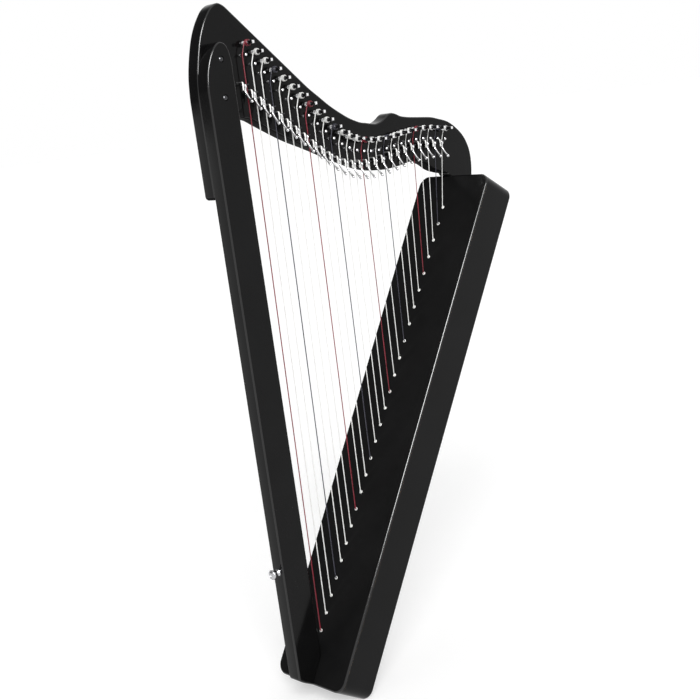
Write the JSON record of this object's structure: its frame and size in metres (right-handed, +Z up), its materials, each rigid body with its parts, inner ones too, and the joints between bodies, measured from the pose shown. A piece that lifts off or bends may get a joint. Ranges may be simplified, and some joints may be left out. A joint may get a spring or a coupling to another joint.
{
  "type": "lap harp",
  "caption": "Small lap harp: flat soundbox with a slanting soundboard, straight pillar, curved neck, strings, turning tuning pins and flip-up sharping levers.",
  "frame": {"origin": "middle of the soundbox's flat lower end", "axes": "+Z up along the bass strings, +X from the bass strings to the treble strings, -Y to the side of the neck that the strings are on"},
  "size_m": [0.4442, 0.122, 0.8481],
  "materials": {
    "black_lacquer": "gloss lacquer",
    "soundboard_lacquer": "gloss lacquer",
    "chrome": "polished",
    "nylon_string": "smooth",
    "bare_wood": "unfinished"
  },
  "bodies": {
    "frame": {"soundboard": "soundboard_lacquer", "soundbox_rim": "black_lacquer", "back_panel": "black_lacquer", "base_block": "bare_wood", "strings_on_rib": "nylon_string", "neck": "black_lacquer", "pillar": "black_lacquer", "strap_button": "chrome"},
    "tuning_pin_01": {"tuning_pin_01": "chrome"},
    "lever_01": {"lever_01": "chrome"},
    "tuning_pin_02": {"tuning_pin_02": "chrome"},
    "lever_02": {"lever_02": "chrome"},
    "tuning_pin_03": {"tuning_pin_03": "chrome"},
    "lever_03": {"lever_03": "chrome"},
    "tuning_pin_04": {"tuning_pin_04": "chrome"},
    "lever_04": {"lever_04": "chrome"},
    "tuning_pin_05": {"tuning_pin_05": "chrome"},
    "lever_05": {"lever_05": "chrome"},
    "tuning_pin_06": {"tuning_pin_06": "chrome"},
    "lever_06": {"lever_06": "chrome"},
    "tuning_pin_07": {"tuning_pin_07": "chrome"},
    "lever_07": {"lever_07": "chrome"},
    "tuning_pin_08": {"tuning_pin_08": "chrome"},
    "lever_08": {"lever_08": "chrome"},
    "tuning_pin_09": {"tuning_pin_09": "chrome"},
    "lever_09": {"lever_09": "chrome"},
    "tuning_pin_10": {"tuning_pin_10": "chrome"},
    "lever_10": {"lever_10": "chrome"},
    "tuning_pin_11": {"tuning_pin_11": "chrome"},
    "lever_11": {"lever_11": "chrome"},
    "tuning_pin_12": {"tuning_pin_12": "chrome"},
    "lever_12": {"lever_12": "chrome"},
    "tuning_pin_13": {"tuning_pin_13": "chrome"},
    "lever_13": {"lever_13": "chrome"},
    "tuning_pin_14": {"tuning_pin_14": "chrome"},
    "lever_14": {"lever_14": "chrome"},
    "tuning_pin_15": {"tuning_pin_15": "chrome"},
    "lever_15": {"lever_15": "chrome"},
    "tuning_pin_16": {"tuning_pin_16": "chrome"},
    "lever_16": {"lever_16": "chrome"},
    "tuning_pin_17": {"tuning_pin_17": "chrome"},
    "lever_17": {"lever_17": "chrome"},
    "tuning_pin_18": {"tuning_pin_18": "chrome"},
    "lever_18": {"lever_18": "chrome"},
    "tuning_pin_19": {"tuning_pin_19": "chrome"},
    "lever_19": {"lever_19": "chrome"},
    "tuning_pin_20": {"tuning_pin_20": "chrome"},
    "lever_20": {"lever_20": "chrome"},
    "tuning_pin_21": {"tuning_pin_21": "chrome"},
    "lever_21": {"lever_21": "chrome"},
    "tuning_pin_22": {"tuning_pin_22": "chrome"},
    "lever_22": {"lever_22": "chrome"},
    "tuning_pin_23": {"tuning_pin_23": "chrome"},
    "lever_23": {"lever_23": "chrome"},
    "tuning_pin_24": {"tuning_pin_24": "chrome"},
    "lever_24": {"lever_24": "chrome"},
    "tuning_pin_25": {"tuning_pin_25": "chrome"},
    "lever_25": {"lever_25": "chrome"},
    "tuning_pin_26": {"tuning_pin_26": "chrome"},
    "lever_26": {"lever_26": "chrome"}
  },
  "joints": [
    {"name": "tuning_01", "type": "hinge", "parent": "frame", "child": "tuning_pin_01", "pos_m": [0.02086, 0.0095, 0.78853], "axis": [0, -1, 0], "continuous": true},
    {"name": "sharping_01", "type": "hinge", "parent": "frame", "child": "lever_01", "pos_m": [0.00446, -0.00005, 0.74003], "axis": [-1, 0, 0], "range_deg": [0, 90]},
    {"name": "tuning_02", "type": "hinge", "parent": "frame", "child": "tuning_pin_02", "pos_m": [0.03276, 0.0095, 0.77758], "axis": [0, -1, 0], "continuous": true},
    {"name": "sharping_02", "type": "hinge", "parent": "frame", "child": "lever_02", "pos_m": [0.01636, -0.00005, 0.73058], "axis": [-1, 0, 0], "range_deg": [0, 90]},
    {"name": "tuning_03", "type": "hinge", "parent": "frame", "child": "tuning_pin_03", "pos_m": [0.04466, 0.0095, 0.76665], "axis": [0, -1, 0], "continuous": true},
    {"name": "sharping_03", "type": "hinge", "parent": "frame", "child": "lever_03", "pos_m": [0.02826, -0.00005, 0.72114], "axis": [-1, 0, 0], "range_deg": [0, 90]},
    {"name": "tuning_04", "type": "hinge", "parent": "frame", "child": "tuning_pin_04", "pos_m": [0.05656, 0.0095, 0.75566], "axis": [0, -1, 0], "continuous": true},
    {"name": "sharping_04", "type": "hinge", "parent": "frame", "child": "lever_04", "pos_m": [0.04016, -0.00005, 0.71166], "axis": [-1, 0, 0], "range_deg": [0, 90]},
    {"name": "tuning_05", "type": "hinge", "parent": "frame", "child": "tuning_pin_05", "pos_m": [0.06846, 0.0095, 0.74458], "axis": [0, -1, 0], "continuous": true},
    {"name": "sharping_05", "type": "hinge", "parent": "frame", "child": "lever_05", "pos_m": [0.05206, -0.00005, 0.70209], "axis": [-1, 0, 0], "range_deg": [0, 90]},
    {"name": "tuning_06", "type": "hinge", "parent": "frame", "child": "tuning_pin_06", "pos_m": [0.08036, 0.0095, 0.73346], "axis": [0, -1, 0], "continuous": true},
    {"name": "sharping_06", "type": "hinge", "parent": "frame", "child": "lever_06", "pos_m": [0.06396, -0.00005, 0.69247], "axis": [-1, 0, 0], "range_deg": [0, 90]},
    {"name": "tuning_07", "type": "hinge", "parent": "frame", "child": "tuning_pin_07", "pos_m": [0.09226, 0.0095, 0.72235], "axis": [0, -1, 0], "continuous": true},
    {"name": "sharping_07", "type": "hinge", "parent": "frame", "child": "lever_07", "pos_m": [0.07586, -0.00005, 0.68288], "axis": [-1, 0, 0], "range_deg": [0, 90]},
    {"name": "tuning_08", "type": "hinge", "parent": "frame", "child": "tuning_pin_08", "pos_m": [0.10416, 0.0095, 0.71133], "axis": [0, -1, 0], "continuous": true},
    {"name": "sharping_08", "type": "hinge", "parent": "frame", "child": "lever_08", "pos_m": [0.08776, -0.00005, 0.67336], "axis": [-1, 0, 0], "range_deg": [0, 90]},
    {"name": "tuning_09", "type": "hinge", "parent": "frame", "child": "tuning_pin_09", "pos_m": [0.11606, 0.0095, 0.70035], "axis": [0, -1, 0], "continuous": true},
    {"name": "sharping_09", "type": "hinge", "parent": "frame", "child": "lever_09", "pos_m": [0.09966, -0.00005, 0.66387], "axis": [-1, 0, 0], "range_deg": [0, 90]},
    {"name": "tuning_10", "type": "hinge", "parent": "frame", "child": "tuning_pin_10", "pos_m": [0.12796, 0.0095, 0.68992], "axis": [0, -1, 0], "continuous": true},
    {"name": "sharping_10", "type": "hinge", "parent": "frame", "child": "lever_10", "pos_m": [0.11156, -0.00005, 0.65492], "axis": [-1, 0, 0], "range_deg": [0, 90]},
    {"name": "tuning_11", "type": "hinge", "parent": "frame", "child": "tuning_pin_11", "pos_m": [0.13986, 0.0095, 0.68028], "axis": [0, -1, 0], "continuous": true},
    {"name": "sharping_11", "type": "hinge", "parent": "frame", "child": "lever_11", "pos_m": [0.12346, -0.00005, 0.64671], "axis": [-1, 0, 0], "range_deg": [0, 90]},
    {"name": "tuning_12", "type": "hinge", "parent": "frame", "child": "tuning_pin_12", "pos_m": [0.15176, 0.0095, 0.67201], "axis": [0, -1, 0], "continuous": true},
    {"name": "sharping_12", "type": "hinge", "parent": "frame", "child": "lever_12", "pos_m": [0.13536, -0.00005, 0.63981], "axis": [-1, 0, 0], "range_deg": [0, 90]},
    {"name": "tuning_13", "type": "hinge", "parent": "frame", "child": "tuning_pin_13", "pos_m": [0.16366, 0.0095, 0.66593], "axis": [0, -1, 0], "continuous": true},
    {"name": "sharping_13", "type": "hinge", "parent": "frame", "child": "lever_13", "pos_m": [0.14726, -0.00005, 0.63498], "axis": [-1, 0, 0], "range_deg": [0, 90]},
    {"name": "tuning_14", "type": "hinge", "parent": "frame", "child": "tuning_pin_14", "pos_m": [0.17556, 0.0095, 0.6616], "axis": [0, -1, 0], "continuous": true},
    {"name": "sharping_14", "type": "hinge", "parent": "frame", "child": "lever_14", "pos_m": [0.15916, -0.00005, 0.63182], "axis": [-1, 0, 0], "range_deg": [0, 90]},
    {"name": "tuning_15", "type": "hinge", "parent": "frame", "child": "tuning_pin_15", "pos_m": [0.18746, 0.0095, 0.65911], "axis": [0, -1, 0], "continuous": true},
    {"name": "sharping_15", "type": "hinge", "parent": "frame", "child": "lever_15", "pos_m": [0.17106, -0.00005, 0.63041], "axis": [-1, 0, 0], "range_deg": [0, 90]},
    {"name": "tuning_16", "type": "hinge", "parent": "frame", "child": "tuning_pin_16", "pos_m": [0.19936, 0.0095, 0.65768], "axis": [0, -1, 0], "continuous": true},
    {"name": "sharping_16", "type": "hinge", "parent": "frame", "child": "lever_16", "pos_m": [0.18296, -0.00005, 0.63001], "axis": [-1, 0, 0], "range_deg": [0, 90]},
    {"name": "tuning_17", "type": "hinge", "parent": "frame", "child": "tuning_pin_17", "pos_m": [0.21306, 0.0095, 0.65738], "axis": [0, -1, 0], "continuous": true},
    {"name": "sharping_17", "type": "hinge", "parent": "frame", "child": "lever_17", "pos_m": [0.19666, -0.00005, 0.63072], "axis": [-1, 0, 0], "range_deg": [0, 90]},
    {"name": "tuning_18", "type": "hinge", "parent": "frame", "child": "tuning_pin_18", "pos_m": [0.22676, 0.0095, 0.65769], "axis": [0, -1, 0], "continuous": true},
    {"name": "sharping_18", "type": "hinge", "parent": "frame", "child": "lever_18", "pos_m": [0.21036, -0.00005, 0.63202], "axis": [-1, 0, 0], "range_deg": [0, 90]},
    {"name": "tuning_19", "type": "hinge", "parent": "frame", "child": "tuning_pin_19", "pos_m": [0.24046, 0.0095, 0.65907], "axis": [0, -1, 0], "continuous": true},
    {"name": "sharping_19", "type": "hinge", "parent": "frame", "child": "lever_19", "pos_m": [0.22406, -0.00005, 0.63433], "axis": [-1, 0, 0], "range_deg": [0, 90]},
    {"name": "tuning_20", "type": "hinge", "parent": "frame", "child": "tuning_pin_20", "pos_m": [0.25416, 0.0095, 0.6607], "axis": [0, -1, 0], "continuous": true},
    {"name": "sharping_20", "type": "hinge", "parent": "frame", "child": "lever_20", "pos_m": [0.23776, -0.00005, 0.63687], "axis": [-1, 0, 0], "range_deg": [0, 90]},
    {"name": "tuning_21", "type": "hinge", "parent": "frame", "child": "tuning_pin_21", "pos_m": [0.26786, 0.0095, 0.66199], "axis": [0, -1, 0], "continuous": true},
    {"name": "sharping_21", "type": "hinge", "parent": "frame", "child": "lever_21", "pos_m": [0.25146, -0.00005, 0.63909], "axis": [-1, 0, 0], "range_deg": [0, 90]},
    {"name": "tuning_22", "type": "hinge", "parent": "frame", "child": "tuning_pin_22", "pos_m": [0.28156, 0.0095, 0.66271], "axis": [0, -1, 0], "continuous": true},
    {"name": "sharping_22", "type": "hinge", "parent": "frame", "child": "lever_22", "pos_m": [0.26516, -0.00005, 0.64078], "axis": [-1, 0, 0], "range_deg": [0, 90]},
    {"name": "tuning_23", "type": "hinge", "parent": "frame", "child": "tuning_pin_23", "pos_m": [0.29526, 0.0095, 0.66234], "axis": [0, -1, 0], "continuous": true},
    {"name": "sharping_23", "type": "hinge", "parent": "frame", "child": "lever_23", "pos_m": [0.27886, -0.00005, 0.64142], "axis": [-1, 0, 0], "range_deg": [0, 90]},
    {"name": "tuning_24", "type": "hinge", "parent": "frame", "child": "tuning_pin_24", "pos_m": [0.30896, 0.0095, 0.66122], "axis": [0, -1, 0], "continuous": true},
    {"name": "sharping_24", "type": "hinge", "parent": "frame", "child": "lever_24", "pos_m": [0.29256, -0.00005, 0.64135], "axis": [-1, 0, 0], "range_deg": [0, 90]},
    {"name": "tuning_25", "type": "hinge", "parent": "frame", "child": "tuning_pin_25", "pos_m": [0.32266, 0.0095, 0.65938], "axis": [0, -1, 0], "continuous": true},
    {"name": "sharping_25", "type": "hinge", "parent": "frame", "child": "lever_25", "pos_m": [0.30626, -0.00005, 0.6406], "axis": [-1, 0, 0], "range_deg": [0, 90]},
    {"name": "tuning_26", "type": "hinge", "parent": "frame", "child": "tuning_pin_26", "pos_m": [0.33636, 0.0095, 0.65723], "axis": [0, -1, 0], "continuous": true},
    {"name": "sharping_26", "type": "hinge", "parent": "frame", "child": "lever_26", "pos_m": [0.31996, -0.00005, 0.63954], "axis": [-1, 0, 0], "range_deg": [0, 90]}
  ]
}
